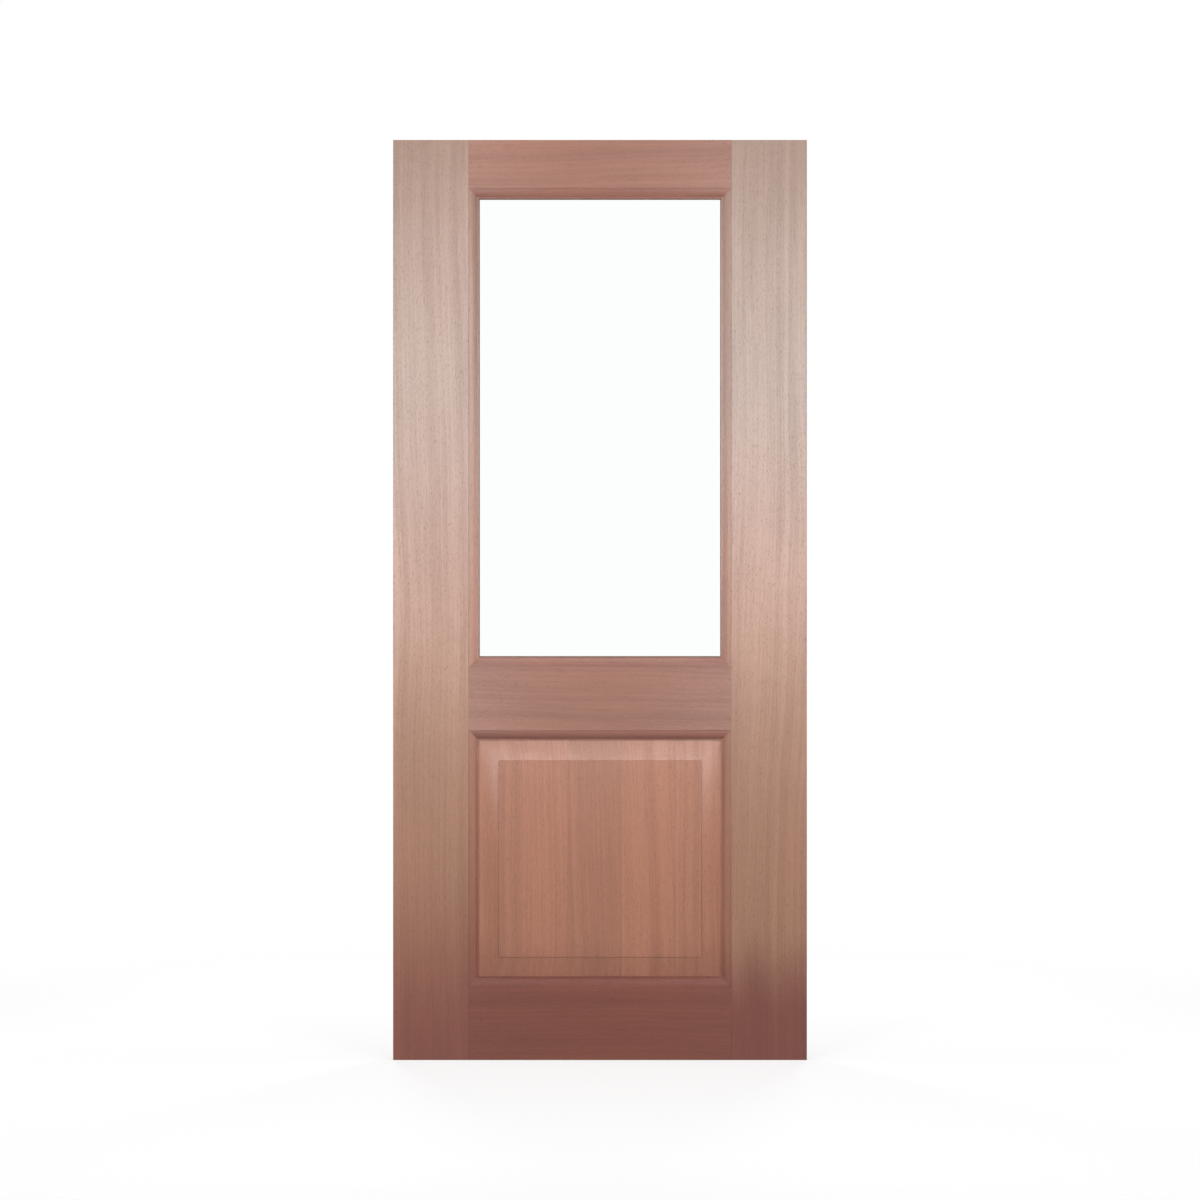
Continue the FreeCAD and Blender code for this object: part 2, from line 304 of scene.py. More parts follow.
def pores(r, along_fibres):
    """1 in a pore and 0 between pores. Space falls into cells, some by lot are open, and the middle of
    an open cell is a pore."""
    stretched = r.arrow("MULTIPLY", along_fibres, PORE_STRETCH)
    cells = {"Vector": stretched, "Scale": PORES, "Randomness": 1.0}
    from_middle = r.step("TexVoronoi", cells, out="Distance")
    lot = r.step("SeparateColor", {0: r.step("TexVoronoi", cells, out="Color")}, out=0)
    return r.sum("MULTIPLY", r.spread(from_middle, *PORE_EDGE, 1.0, 0.0), r.spread(lot, *OPEN_CELLS))


print("a pore is about", round(1 / FIBRE_SQUEEZE[2] / PORE_STRETCH[2]), "times as long as it is wide")

# %% [markdown]
# ### Where the wood takes more colour, and where shade and sheen are painted
#
# A sawn end drinks varnish and goes dark. The mouldings are painted a shade darker, as the shade where
# they turn away from the face. A stile or the panel is painted darker and redder towards its foot, as
# the shade where the light falls off, and a stile greyer towards its head, as the sheen of its varnish.
# Each corner of the mesh could carry these shares as colours, but the surface knows them already: an end
# looks along the fibres, a moulding looks outwards from below the face, and foot and head are heights.

# %% Ends, painted shade of mouldings and feet, and painted sheen of heads
# Each pair says where a share starts and where it is full. The heights of the painted head sheen are
# in metres, and the grain makes them wander.
SAWN_ACROSS = (0.80, 0.97)
LOOKING_OUT, BELOW_THE_FACE = (0.15, 0.35), (0.8 * MM, 2.2 * MM)
HEAD_SHEEN_HEIGHTS, WANDER, WANDER_SQUEEZE = (1.00, 1.58), 0.13, (24.0, 24.0, 1.6)


def end_share(r, grain):
    """1 where the surface is sawn across the grain, 0 along it."""
    return r.spread(facing(r, LENGTHWISE[grain]), *SAWN_ACROSS)


def moulding_shade_share(r):
    """Where the mouldings get painted shade: 1 on the mouldings and 0 elsewhere. They look out of the
    leaf as its faces do, but lie deeper. Depth counts from the nearer face, and Y is 0 halfway between
    the two."""
    outwards = facing(r, (0.0, 1.0, 0.0))
    depth = r.sum("SUBTRACT", cad_high.y, r.sum("ABSOLUTE", coordinate(r, 1)))
    return r.sum("MULTIPLY", r.spread(outwards, *LOOKING_OUT), r.spread(depth, *BELOW_THE_FACE))


def foot_shade_and_head_sheen(shade_heights, foot_shade_tint, head_sheen_tint):
    """Painted light on an upright board: painted shade in full below the first of its two shade heights
    and gone at the second, as shade towards the foot, and painted sheen from none to full over the
    heights of the head. The grain makes these heights wander."""

    def paint_shade_and_sheen(r, colour):
        squeezed = r.arrow("MULTIPLY", place_on_leaf(r), WANDER_SQUEEZE)
        wander = r.noise(squeezed, 1.0, detail=3.0, rough=0.6)
        height = r.sum("MULTIPLY_ADD", wander, WANDER, coordinate(r, 2))
        # Painted sheen towards the head, then painted shade towards the foot.
        colour = r.tinted(r.spread(height, *HEAD_SHEEN_HEIGHTS), colour, head_sheen_tint)
        return r.tinted(r.spread(height, *shade_heights, 1.0, 0.0), colour, foot_shade_tint)

    return paint_shade_and_sheen


print("a moulding starts", round(BELOW_THE_FACE[0] / MM, 1), "mm below the face")

# %% [markdown]
# ### The whole recipe
#
# Varnish lies thin on open-pored wood: it shines, but it sinks into the pores, and what is left of the
# planing shows as slow waves in the sheen. A clear coat as a second layer would be too glassy for that,
# so one rough surface does it, with the fibres and pores as relief. Its highlight is drawn out across
# the fibres, by the Anisotropic input with a tangent that follows the grain.

# %% Varnished timber
# The fibres run this way. The small slant keeps the sheen's direction defined on sawn ends too.
FIBRE_AXIS = {"upright": (0.02, 0.03, 1.0), "level": (1.0, 0.03, 0.02)}
FIBRES, FIBRE_REACH, FIBRE_TONE = 1500.0, (0.25, 0.75), (0.90, 1.08)
PLANE_WAVES = 22.0
# Heights in millimetres: pores are sunk, and fibres and the waves of the plane stand proud.
PORE_HEIGHT, FIBRE_HEIGHT, WAVE_HEIGHT = -0.16, 0.06, 0.35
LATE_WOOD_ROUGHNESS, EARLY_WOOD_ROUGHNESS = 0.46, 0.38
PORE_ROUGHNESS, END_ROUGHNESS = 0.18, 0.20
VARNISH_GLOSS, FOOT_GLOSS, FIBRE_SHEEN = 0.95, 0.50, 0.75


def varnished_timber(
    name, pale, dark, grain, middle, lean, centre,
    shift=None, tint=None, gloss=VARNISH_GLOSS, moulded=True,
):
    """One board's material: log figure, fibres and pores under a thin satin varnish."""
    r = Recipe(name)
    space = log_space(r, grain, middle, lean, centre, shift)
    ring, along_fibres = figure(r, space)
    fibre = r.noise(along_fibres, FIBRES, rough=0.6)
    pore = pores(r, along_fibres)
    end = end_share(r, grain)

    colour = r.blend(ring, opaque(dark), opaque(pale))
    colour = r.scaled(colour, r.spread(fibre, *FIBRE_REACH, *FIBRE_TONE))
    colour = r.tinted(pore, colour, PORE_TINT)
    colour = r.tinted(end, colour, END_GRAIN_TINT)
    # Painted shade on the mouldings.
    if moulded:
        colour = r.tinted(moulding_shade_share(r), colour, MOULDING_SHADE_TINT)
    # A tint paints shade towards the foot and sheen towards the head of a stile, or tones the panel's
    # boards and paints shade at its foot.
    if tint:
        colour = tint(r, colour)

    wave = r.noise(space, PLANE_WAVES, detail=1.0)
    height = r.added((pore, PORE_HEIGHT), (fibre, FIBRE_HEIGHT), (wave, WAVE_HEIGHT))
    rough = r.spread(ring, 0.0, 1.0, LATE_WOOD_ROUGHNESS, EARLY_WOOD_ROUGHNESS)
    rough = r.sum("MULTIPLY_ADD", pore, PORE_ROUGHNESS, rough)
    flat_normal = r.step("NewGeometry", {}, out="Normal")
    surface = {
        "Base Color": colour,
        "Roughness": r.sum("MULTIPLY_ADD", end, END_ROUGHNESS, rough),
        "Normal": r.relief(height, 1.0, MM),
        "Specular IOR Level": gloss,
        "Anisotropic": FIBRE_SHEEN,
        "Tangent": r.arrow("CROSS_PRODUCT", flat_normal, FIBRE_AXIS[grain]),
    }
    return r.finish(r.step("BsdfPrincipled", surface))


print("timber recipe ready, with", round(FIBRES), "fibres to a metre")

# %% [markdown]
# ## Boards of the panel
#
# A panel over half a metre wide is glued up from narrower boards, so that it stays flat. Each board has
# its own log and its own tone, with a hairline of glue between two boards. The panel is one solid, and
# cutting it up would leave five pieces where the packed leaf has one, so the boards are drawn. A ramp
# with steps gives each board a number, which moves the log and changes the tone. The same ramp read a
# hair to the left and right differs only at a joint, and that difference draws the glue line.

# %% Numbers of the panel's boards
PANEL_LOW, PANEL_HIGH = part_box("raised_panel")
# Where each board starts, as a share of the panel's width, and its number.
PANEL_BOARDS = ((0.0, 0.35), (0.19, 0.75), (0.37, 0.15), (0.585, 0.95), (0.80, 0.50))


def board_number(r, offset=0.0):
    """The number of the board at this place, from the stepped ramp."""
    here = r.sum("ADD", coordinate(r, 0), offset)
    across = r.step("MapRange", {0: here, 1: PANEL_LOW.x, 2: PANEL_HIGH.x})
    number = r.step("ValToRGB", {0: across})
    ramp = number.node.color_ramp
    ramp.interpolation = "CONSTANT"
    ramp.elements.remove(ramp.elements[1])
    for start, value in PANEL_BOARDS:
        stop = ramp.elements[0] if start == 0 else ramp.elements.new(start)
        stop.color = (value, value, value, 1)
    return r.step("SeparateColor", {0: number}, out=0)


print("panel of", len(PANEL_BOARDS), "boards in", round((PANEL_HIGH.x - PANEL_LOW.x) / MM), "mm")

# %% Logs and tones of the panel's boards
BOARD_SHIFT, BOARD_TONE = (0.55, 0.16, 2.3), (0.92, 1.06)
GLUE_LINE, GLUE_SHARE, GLUE_COLOUR = 0.25 * MM, 0.55, (0.09, 0.045, 0.03)
# Two boards that meet differ by more than this in number.
LEAST_DIFFERENCE = 0.01
# The panel is painted darker and redder towards its foot, as shade: in full below the first height, gone
# at the second.
PANEL_FOOT, PANEL_FOOT_SHADE_TINT = (0.22, 0.35), (0.78, 0.68, 0.64)
panel_foot_shade = foot_shade_and_head_sheen(PANEL_FOOT, PANEL_FOOT_SHADE_TINT, NO_TINT)


def board_shift(r):
    """How far the log of this board lies from that of a board with number 0."""
    number = board_number(r)
    return r.arrow("MULTIPLY", r.step("CombineXYZ", {0: number, 1: number, 2: number}), BOARD_SHIFT)


def panel_tint(r, colour):
    """Each board a little lighter or darker, the glue line between two boards, and painted shade at the
    foot.
    """
    toned = r.scaled(colour, r.spread(board_number(r), 0.0, 1.0, *BOARD_TONE))
    step = r.sum("SUBTRACT", board_number(r, GLUE_LINE / 2), board_number(r, -GLUE_LINE / 2))
    line = r.sum("GREATER_THAN", r.sum("ABSOLUTE", step), LEAST_DIFFERENCE)
    return panel_foot_shade(r, r.blend(r.sum("MULTIPLY", line, GLUE_SHARE), toned, opaque(GLUE_COLOUR)))


print("glue line", round(GLUE_LINE / MM, 2), "mm wide")

# %% [markdown]
# ## Boards cut to their pieces
#
# The solids have knife-sharp edges. A joiner takes the edge off every arris with fine paper, and that
# tiny round catches the light. A packed node's mesh is loose triangles and must stay as it is, so each
# board is a copy: equal corners are welded, flat neighbours become one face, and a Bevel modifier
# rounds what is left. Rounding in the CAD would cost many faces there, and a bevel here costs one line.

# %% Welded copies
EQUAL_CORNERS = 0.01 * MM


def welded(node):
    """Corners and triangles of a packed node. Corners that round to the same place become one, and a
    triangle that loses a corner by it is dropped."""
    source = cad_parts[node].data
    corners = np.zeros(len(source.vertices) * 3)
    source.vertices.foreach_get("co", corners)
    corners = corners.reshape(-1, 3)
    source.calc_loop_triangles()
    triangles = np.zeros(len(source.loop_triangles) * 3, int)
    source.loop_triangles.foreach_get("vertices", triangles)
    rounded = np.round(corners / EQUAL_CORNERS).astype(np.int64)
    _, first, merged = np.unique(rounded, axis=0, return_index=True, return_inverse=True)
    a, b, c = merged.ravel()[triangles].reshape(-1, 3).T
    whole = (a != b) & (b != c) & (c != a)
    return corners[first], np.stack([a, b, c], axis=-1)[whole]


print("hinge stile:", [len(part) for part in welded("hinge_stile")], "corners and triangles")

# %% Joined flats
FLAT, SHARP, ARRIS = math.radians(0.5), math.radians(30), math.radians(35)
SHORTEST_ARRIS, LONG_ARRIS = 9 * MM, 150 * MM
# The cosine of the angle to the board's length, above which an edge runs along it.
STRAIGHT = 0.99
CROSS_SHARE = 0.3


def arris_shares(shape, axis):
    """How much of the easing each edge gets: all of it on a long outward arris that runs along the
    board, a third on one that runs across or round a mortice, and none on scribed ends, hollows and
    smooth curves."""
    shares = []
    for edge in shape.edges:
        run = edge.verts[1].co - edge.verts[0].co
        if edge.calc_face_angle_signed(0.0) <= ARRIS or run.length < SHORTEST_ARRIS:
            shares.append(0.0)
        elif abs(run[axis]) > STRAIGHT * run.length and run.length > LONG_ARRIS:
            shares.append(1.0)
        else:
            shares.append(CROSS_SHARE)
    return shares


def joined_flats(name, corners, triangles, axis):
    """A mesh with its flat neighbours joined, and the share of each edge for the bevel to read."""
    mesh = bpy.data.meshes.new(name)
    mesh.from_pydata(corners.tolist(), [], triangles.tolist())
    shape = bmesh.new()
    shape.from_mesh(mesh)
    bmesh.ops.dissolve_limit(shape, angle_limit=FLAT, verts=shape.verts, edges=shape.edges)
    shares = arris_shares(shape, axis)
    shape.to_mesh(mesh)
    shape.free()
    mesh.attributes.new("bevel_weight_edge", "FLOAT", "EDGE").data.foreach_set("value", shares)
    mesh.shade_smooth()
    mesh.set_sharp_from_angle(angle=SHARP)
    return mesh


print("an arris is an outward edge of more than", round(math.degrees(ARRIS)), "degrees")

# %% Eased boards
EASE, SLIVER = 0.5 * MM, 0.02 * MM
LENGTH_AXIS = {"upright": 2, "level": 0}


def new_piece(name, mesh, material):
    """Puts a finished mesh on the leaf as a piece of its own, with its object at the origin."""
    piece = bpy.data.objects.new(name, mesh)
    scene.collection.objects.link(piece)
    mesh.materials.append(material)
    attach(piece, "root")
    return piece


def eased_board(node, material, grain, ease=EASE):
    """A board with welded corners, joined flats and rounded arrises, in place of its packed node."""
    name = node + "_eased"
    board = new_piece(name, joined_flats(name, *welded(node), LENGTH_AXIS[grain]), material)
    bevel = board.modifiers.new("ease", "BEVEL")
    bevel.width = ease
    bevel.segments = 2
    bevel.limit_method = "WEIGHT"
    bevel.use_clamp_overlap = False
    bevel.harden_normals = True
    board.modifiers.new("no_slivers", "WELD").merge_threshold = SLIVER
    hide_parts(node)


def centre_of(node):
    """The middle of a packed node's box."""
    low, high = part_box(node)
    return (low + high) / 2


print("arrises are eased by", round(EASE / MM, 1), "mm")

# %% [markdown]
# ## Stiles, rails and panel
#
# The stiles run the full height and the rails are scribed between them, so the grain stands in the
# stiles and the panel and lies in the rails. One material with a switch for its direction would do for
# all, but a real leaf is matched from several boards, so each has a log of its own. The bottom rail's
# tones are the darkest, partly as a darker board and partly as painted shade towards the foot. It is
# dull all over, and its moulding gets no painted shade.

# %% Stiles, rails and panel
# The board's middle as seen from the heart of its log, and its lean in degrees. For a stile also
# between which heights its painted foot shade fades, the tint of that shade, and the tint of the
# painted sheen at its head.
STILES = {
    "hinge_stile": ((0.21, 0.16), 0.45, (0.09, 0.58), (0.62, 0.33, 0.29), (0.88, 1.13, 1.38)),
    "lock_stile": ((-0.19, 0.13), -0.6, (0.17, 0.38), (0.50, 0.205, 0.145), (0.88, 1.20, 1.54)),
}
# For a rail also its two tones, its gloss, and whether its moulding gets painted shade.
RAILS = {
    "top_rail": ((0.16, -0.20), 0.7, RAIL_PALE, RAIL_DARK, VARNISH_GLOSS, True),
    "lock_rail": ((-0.22, 0.17), -0.5, RAIL_PALE, RAIL_DARK, VARNISH_GLOSS, True),
    "bottom_rail": ((0.25, 0.12), 0.4, SHADED_FOOT_PALE, SHADED_FOOT_DARK, FOOT_GLOSS, False),
}
PANEL_MIDDLE, PANEL_LEAN = (0.12, 0.10), 0.3
for node, (middle, lean, shade_heights, foot_shade_tint, head_sheen_tint) in STILES.items():
    timber = varnished_timber(
        node + "_timber", STILE_PALE, STILE_DARK, "upright", middle, lean, centre_of(node),
        tint=foot_shade_and_head_sheen(shade_heights, foot_shade_tint, head_sheen_tint),
    )
    eased_board(node, timber, "upright")
for node, (middle, lean, pale, dark, gloss, moulded) in RAILS.items():
    timber = varnished_timber(
        node + "_timber", pale, dark, "level", middle, lean, centre_of(node),
        gloss=gloss, moulded=moulded,
    )
    eased_board(node, timber, "level")
panel_timber = varnished_timber(
    "raised_panel_timber", PANEL_PALE, PANEL_DARK, "upright", PANEL_MIDDLE, PANEL_LEAN,
    centre_of("raised_panel"), shift=board_shift, tint=panel_tint, moulded=False,
)
eased_board("raised_panel", panel_timber, "upright")

# %% [markdown]
# ## Beads and wedges
#
# The four glazing beads are short lengths of the same moulding, mitred at the corners, so the same two
# helpers make them, with the grain along each. The wedges are driven into the ends of the tenons, and
# only their butts show, as bars of paler end grain on the edge of the leaf. Easing those would widen
# the joint round them, so the wedges keep their packed mesh and only get a material.

# %% Beads and wedges
BEADS = {
    "bead_top": "level",
    "bead_bottom": "level",
    "bead_hinge_side": "upright",
    "bead_lock_side": "upright",
}
BEAD_EASE, BEAD_LEAN = 0.4 * MM, 0.3
FIRST_MIDDLE, MIDDLE_STEP = (0.15, 0.12), (0.04, -0.05)
WEDGE_MIDDLE, WEDGE_LEAN = (0.05, 0.03), 0.0
for number, (node, grain) in enumerate(BEADS.items()):
    middle = [first + number * step for first, step in zip(FIRST_MIDDLE, MIDDLE_STEP)]
    timber = varnished_timber(
        node + "_timber", RAIL_PALE, RAIL_DARK, grain, middle, BEAD_LEAN, centre_of(node)
    )
    eased_board(node, timber, grain, BEAD_EASE)
wedge_timber = varnished_timber(
    "wedge_end_timber", WEDGE_PALE, WEDGE_DARK, "level", WEDGE_MIDDLE, WEDGE_LEAN, LEAF_CENTRE,
    moulded=False,
)


def dress(part_of_name, material):
    """Gives the packed nodes with this in their names a material of this file."""
    nodes = [node for name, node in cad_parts.items() if part_of_name in name]
    for node in nodes:
        node.material_slots[0].material = material
    print(len(nodes), "x", part_of_name, "in", material.name)


dress("wedge", wedge_timber)
print(len(BEADS), "beads eased by", round(BEAD_EASE / MM, 1), "mm")

# %% [markdown]
# ## Plain finishes
#
# Filler, foam, plastic and sealant have no figure. What tells them from one another is how fine their
# mottle is and how far it changes tone, height and shine. Four recipes would repeat one another, so one
# helper lets a single pattern lead all three.


# %% Plain finish
def plain_finish(name, pattern, dark, light, relief, rough, reach=(0.2, 0.8)):
    """A finish led by one pattern, a function of the recipe and the place. It runs from dark to light,
    it is the height of a relief with this strength and distance, and over its reach it changes the
    roughness."""
    r = Recipe(name)
    share = pattern(r, place_on_leaf(r))
    surface = {
        "Base Color": r.blend(share, opaque(dark), opaque(light)),
        "Roughness": r.spread(share, *reach, *rough),
        "Normal": r.relief(share, *relief),
    }
    return r.finish(r.step("BsdfPrincipled", surface))


print("plain finish ready")

# %% [markdown]
# ## Pins of the beads
#
# Small pins hold the beads in the rebate, so that a broken pane can be changed. They are punched in and
# the holes stopped with coloured filler, which shrinks and stands as a faint dome. Dots in the bead's
# material would be quicker, but a dot has no edge for the light to catch, so each stopping is a dome of
# its own. The beads' curve is an arc of a circle, so a dome's place and tilt follow from its distance
# to the quirk.

# %% Places of the pins
BEAD_LOW, BEAD_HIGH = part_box("bead_top")
SIGHT = {
    "left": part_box("bead_hinge_side")[1].x,
    "right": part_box("bead_lock_side")[0].x,
    "low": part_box("bead_bottom")[1].z,
    "high": BEAD_LOW.z,
}
MOULDING_WIDTH, MOULDING_QUIRK = BEAD_HIGH.z - BEAD_LOW.z, cad_high.y - BEAD_HIGH.y
MOULDING_FILLET, MOULDING_DEPTH = 3 * MM, 12 * MM
PIN_FROM_QUIRK = 9 * MM
PIN_PITCH, PIN_FROM_MITRE = 150 * MM, 50 * MM


def spaced(low, high):
    """Pins from just inside one mitre to just inside the other, no further apart than the pitch."""
    count = math.ceil((high - low - 2 * PIN_FROM_MITRE) / PIN_PITCH) + 1
    return np.linspace(low + PIN_FROM_MITRE, high - PIN_FROM_MITRE, count)


def pin_places():
    """Centre, outward direction and lengthwise direction of each pin. The arc leaves the quirk level
    with the face and drops by h over its run w, so its radius R is (w^2 + h^2) / 2h. At run t from the
    quirk it has dropped R - sqrt(R^2 - t^2) and leans by asin(t / R) to the glass."""
    run, drop = MOULDING_WIDTH - MOULDING_FILLET, MOULDING_DEPTH - MOULDING_QUIRK
    arc = (run**2 + drop**2) / (2 * drop)
    out = MOULDING_WIDTH - PIN_FROM_QUIRK
    depth = BEAD_HIGH.y - (arc - math.sqrt(arc**2 - PIN_FROM_QUIRK**2))
    lean = math.asin(PIN_FROM_QUIRK / arc)
    tilt, outward = math.sin(lean), math.cos(lean)
    rows = []
    for z, sign in ((SIGHT["low"] - out, 1), (SIGHT["high"] + out, -1)):
        for x in spaced(SIGHT["left"], SIGHT["right"]):
            rows.append(((x, depth, z), (0, outward, sign * tilt), (1, 0, 0)))
    for x, sign in ((SIGHT["left"] - out, 1), (SIGHT["right"] + out, -1)):
        for z in spaced(SIGHT["low"], SIGHT["high"]):
            rows.append(((x, depth, z), (sign * tilt, outward, 0), (0, 0, 1)))
    return np.array(rows).transpose(1, 0, 2)


print("sight lines", {name: round(value, 3) for name, value in SIGHT.items()})

# %% Shape of a stopping
# The middle stands proud by the dome, and the rim lies below the bead's surface by the sink.
PIN_RADIUS, PIN_DOME, PIN_SINK = 1.5 * MM, 0.12 * MM, 0.10 * MM
DOME_RINGS, DOME_SPOKES = 4, 14
SMALL_PIECE_SHARP = math.radians(40)


def smooth_mesh(name, points, faces):
    """A mesh of a small piece, smooth but for its sharp edges."""
    mesh = bpy.data.meshes.new(name)
    mesh.from_pydata(points.reshape(-1, 3).tolist(), [], faces)
    mesh.shade_smooth()
    mesh.set_sharp_from_angle(angle=SMALL_PIECE_SHARP)
    return mesh


def domes(name, centres, outward, lengthwise):
    """A low dome at each centre. At share s of the radius it stands dome * (1 - s^2) - sink * s^2 proud,
    and one flat face in the wood closes it below."""
    share = np.arange(1, DOME_RINGS + 1) / DOME_RINGS
    angle = 2 * math.pi * np.arange(DOME_SPOKES) / DOME_SPOKES
    sideways = np.cross(outward, lengthwise)
    along_part = PIN_RADIUS * share[:, None] * np.cos(angle)
    side_part = PIN_RADIUS * share[:, None] * np.sin(angle)
    proud = np.broadcast_to((PIN_DOME * (1 - share**2) - PIN_SINK * share**2)[:, None], along_part.shape)
    parts = ((along_part, lengthwise), (side_part, sideways), (proud, outward))
    rims = centres[:, None, None] + sum(part[..., None] * way[:, None, None] for part, way in parts)
    tops = centres + PIN_DOME * outward
    points = np.concatenate([tops[:, None], rims.reshape(len(centres), -1, 3)], axis=1)

    j = np.arange(DOME_SPOKES)
    j_next = (j + 1) % DOME_SPOKES
    fan = np.stack([np.zeros_like(j), 1 + j, 1 + j_next], axis=-1)
    i = (1 + DOME_SPOKES * np.arange(DOME_RINGS - 1))[:, None]
    bands = np.stack([i + j, i + DOME_SPOKES + j, i + DOME_SPOKES + j_next, i + j_next], axis=-1)
    below = (1 + DOME_SPOKES * (DOME_RINGS - 1) + j[::-1])[None]
    start = (points.shape[1] * np.arange(len(centres)))[:, None, None]
    faces = []
    for part in (fan, bands.reshape(-1, 4), below):
        faces += (part + start).reshape(-1, part.shape[1]).tolist()
    return smooth_mesh(name, points, faces)


print("a stopping is", round(2 * PIN_RADIUS / MM, 1), "mm across")


# %% Stoppings of the pins
def pin_filler():
    """Coloured filler: a shade darker than the bead, matt, with a faint mottle."""
    return plain_finish(
        "pin_filler", lambda r, place: r.noise(place, 1300.0),
        (0.115, 0.040, 0.024), (0.185, 0.068, 0.040), relief=(0.5, 0.1 * MM), rough=(0.62, 0.80),
    )


places = pin_places()
new_piece("bead_pin_stoppings", domes("bead_pin_stoppings", *places), pin_filler())
print(places.shape[1], "pins in the beads")

# %% [markdown]
# ## Glass
#
# Float glass is nearly colourless through its face and green through its edge. A clear material for the
# faces and a green one for the edge would do, but one sheet with a faint tint does both, because light
# travels far longer along the sheet than through it. Lamps are let through the pane, so that it casts
# the light shadow of clear glass and not the dark one of a board.

# %% Glass
GLASS_TINT, GLASS_SHADOW = (0.965, 0.99, 0.982), (0.93, 0.96, 0.95)


def float_glass():
    """Float glass that lamps shine through."""
    r = Recipe("float_glass")
    sheet = {
        "Base Color": opaque(GLASS_TINT),
        "Roughness": 0.0,
        "IOR": 1.45,
        "Transmission Weight": 1.0,
    }
    glass = r.step("BsdfPrincipled", sheet)
    clear = r.step("BsdfTransparent", {"Color": opaque(GLASS_SHADOW)})
    return r.finish(r.step("MixShader", {0: rays(r, "Is Shadow Ray"), 1: glass, 2: clear}))


dress("glass_pane", float_glass())

# %% [markdown]
# ## Tape and setting blocks
#
# The pane stands on two blocks of hard plastic and is bedded in foam tape on both sides, so that it
# never touches wood. The tape is a dark line at the sight line, and through the glass one sees its
# bubbles. Round cells make these, where noise would look like cloth. The blocks have the fine even
# grain of a mould.


# %% Tape and setting blocks
def bubbles(r, place):
    """How far a point lies from the middle of its bubble."""
    return r.step("TexVoronoi", {"Vector": place, "Scale": 2600.0}, out="Distance")


def foam_tape():
    """Dark closed-cell foam: fine bubbles in a matt skin."""
    return plain_finish(
        "foam_tape", bubbles,
        (0.020, 0.016, 0.014), (0.060, 0.050, 0.044), relief=(0.6, 0.2 * MM), rough=(0.95, 0.75),
        reach=(0.0, 0.6),
    )


def setting_block_plastic():
    """Hard plastic with a fine moulded grain."""
    return plain_finish(
        "setting_block_plastic", lambda r, place: r.noise(place, 1400.0, detail=3.0),
        (0.008, 0.010, 0.012), (0.020, 0.024, 0.028), relief=(0.3, 0.1 * MM), rough=(0.42, 0.60),
    )


dress("_tape_", foam_tape())
dress("setting_block", setting_block_plastic())

# %% [markdown]
# ## Sealant round the pane
#
# The glazing tape stops short of the sight line, and a thin fillet of sealant fills the step, so that
# rain runs off. A bevel on the tape would hide the step, but it would be straight, and a finger leaves
# a hollow. So it is one profile carried round a rectangle: a table of points with one row for each
# corner of the rectangle and one column for each point of the profile. At a mitre the profile keeps its
# distance from both sides, so a corner is the profile's reach added to both coordinates at once.

# %% Fillet of sealant
GLASS_FRONT, GLASS_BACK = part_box("glass_pane")[0].y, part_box("glass_pane")[1].y
LIP_FRONT, BEAD_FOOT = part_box("front_tape_top")[0].y, BEAD_LOW.y
ON_GLASS, ON_WOOD, BEHIND_SIGHT_LINE = 1.8 * MM, 0.9 * MM, 1.4 * MM
HAIR_GAP = 0.02 * MM
HOLLOW_POINTS = 7


def fillet_profile(wood, glass):
    """Section of the sealant as (reach, depth) points. From the timber's inner edge a hollow runs down
    to the glass: a quarter of an ellipse whose centre stands off both, so reach = -size * (1 - cosine)
    and height above the glass = size * (1 - sine). Behind the sight line the section is square, against
    the tape. A hair's gap keeps the hollow off the timber and the glass."""
    glass += math.copysign(HAIR_GAP, wood - glass)
    lip = wood + math.copysign(ON_WOOD, wood - glass)
    turn = np.linspace(0, math.pi / 2, HOLLOW_POINTS)
    reach = -HAIR_GAP - ON_GLASS * (1 - np.cos(turn))
    depth = lip + (glass - lip) * np.sin(turn)
    return [(BEHIND_SIGHT_LINE, wood), (-HAIR_GAP, wood), *zip(reach, depth), (BEHIND_SIGHT_LINE, glass)]


print("sealant is", round(ON_GLASS / MM, 1), "mm wide on the glass")


# %% Sealant round the sight lines
def carried_round(name, profile):
    """A closed profile of (reach, depth) points carried round the sight rectangle. Reach is how far
    outside the sight line a point lies: the corner in row i is the sight corner plus reach along both of
    its outward directions, and its Y is the depth. The faces point outwards when the profile's area,
    summed over its sides as reach * next depth - depth * next reach, is negative, so it is turned round
    where it isn't."""
    reach, depth = np.array(profile).T
    if np.sum(reach * np.roll(depth, -1) - depth * np.roll(reach, -1)) > 0:
        reach, depth = reach[::-1], depth[::-1]
    left, right, low, high = (SIGHT[side] for side in ("left", "right", "low", "high"))
    corner = np.array([[left, low], [right, low], [right, high], [left, high]])
    outward = np.array([[-1, -1], [1, -1], [1, 1], [-1, 1]])
    flat = corner[:, None, :] + outward[:, None, :] * reach[None, :, None]
    points = np.stack([flat[..., 0], np.broadcast_to(depth, flat.shape[:2]), flat[..., 1]], axis=-1)
    rows, columns = points.shape[:2]
    i, j = np.meshgrid(np.arange(rows), np.arange(columns), indexing="ij")
    row, next_row, j_next = i * columns, (i + 1) % rows * columns, (j + 1) % columns
    faces = np.stack([row + j, next_row + j, next_row + j_next, row + j_next], axis=-1)
    return smooth_mesh(name, points, faces.reshape(-1, 4).tolist())


def rubbery_sealant():
    """Brown acrylic sealant, tooled smooth but never quite even."""
    return plain_finish(
        "sealant", lambda r, place: r.noise(place, 60.0),
        (0.085, 0.045, 0.032), (0.13, 0.070, 0.050), relief=(0.8, 0.4 * MM), rough=(0.36, 0.52),
    )


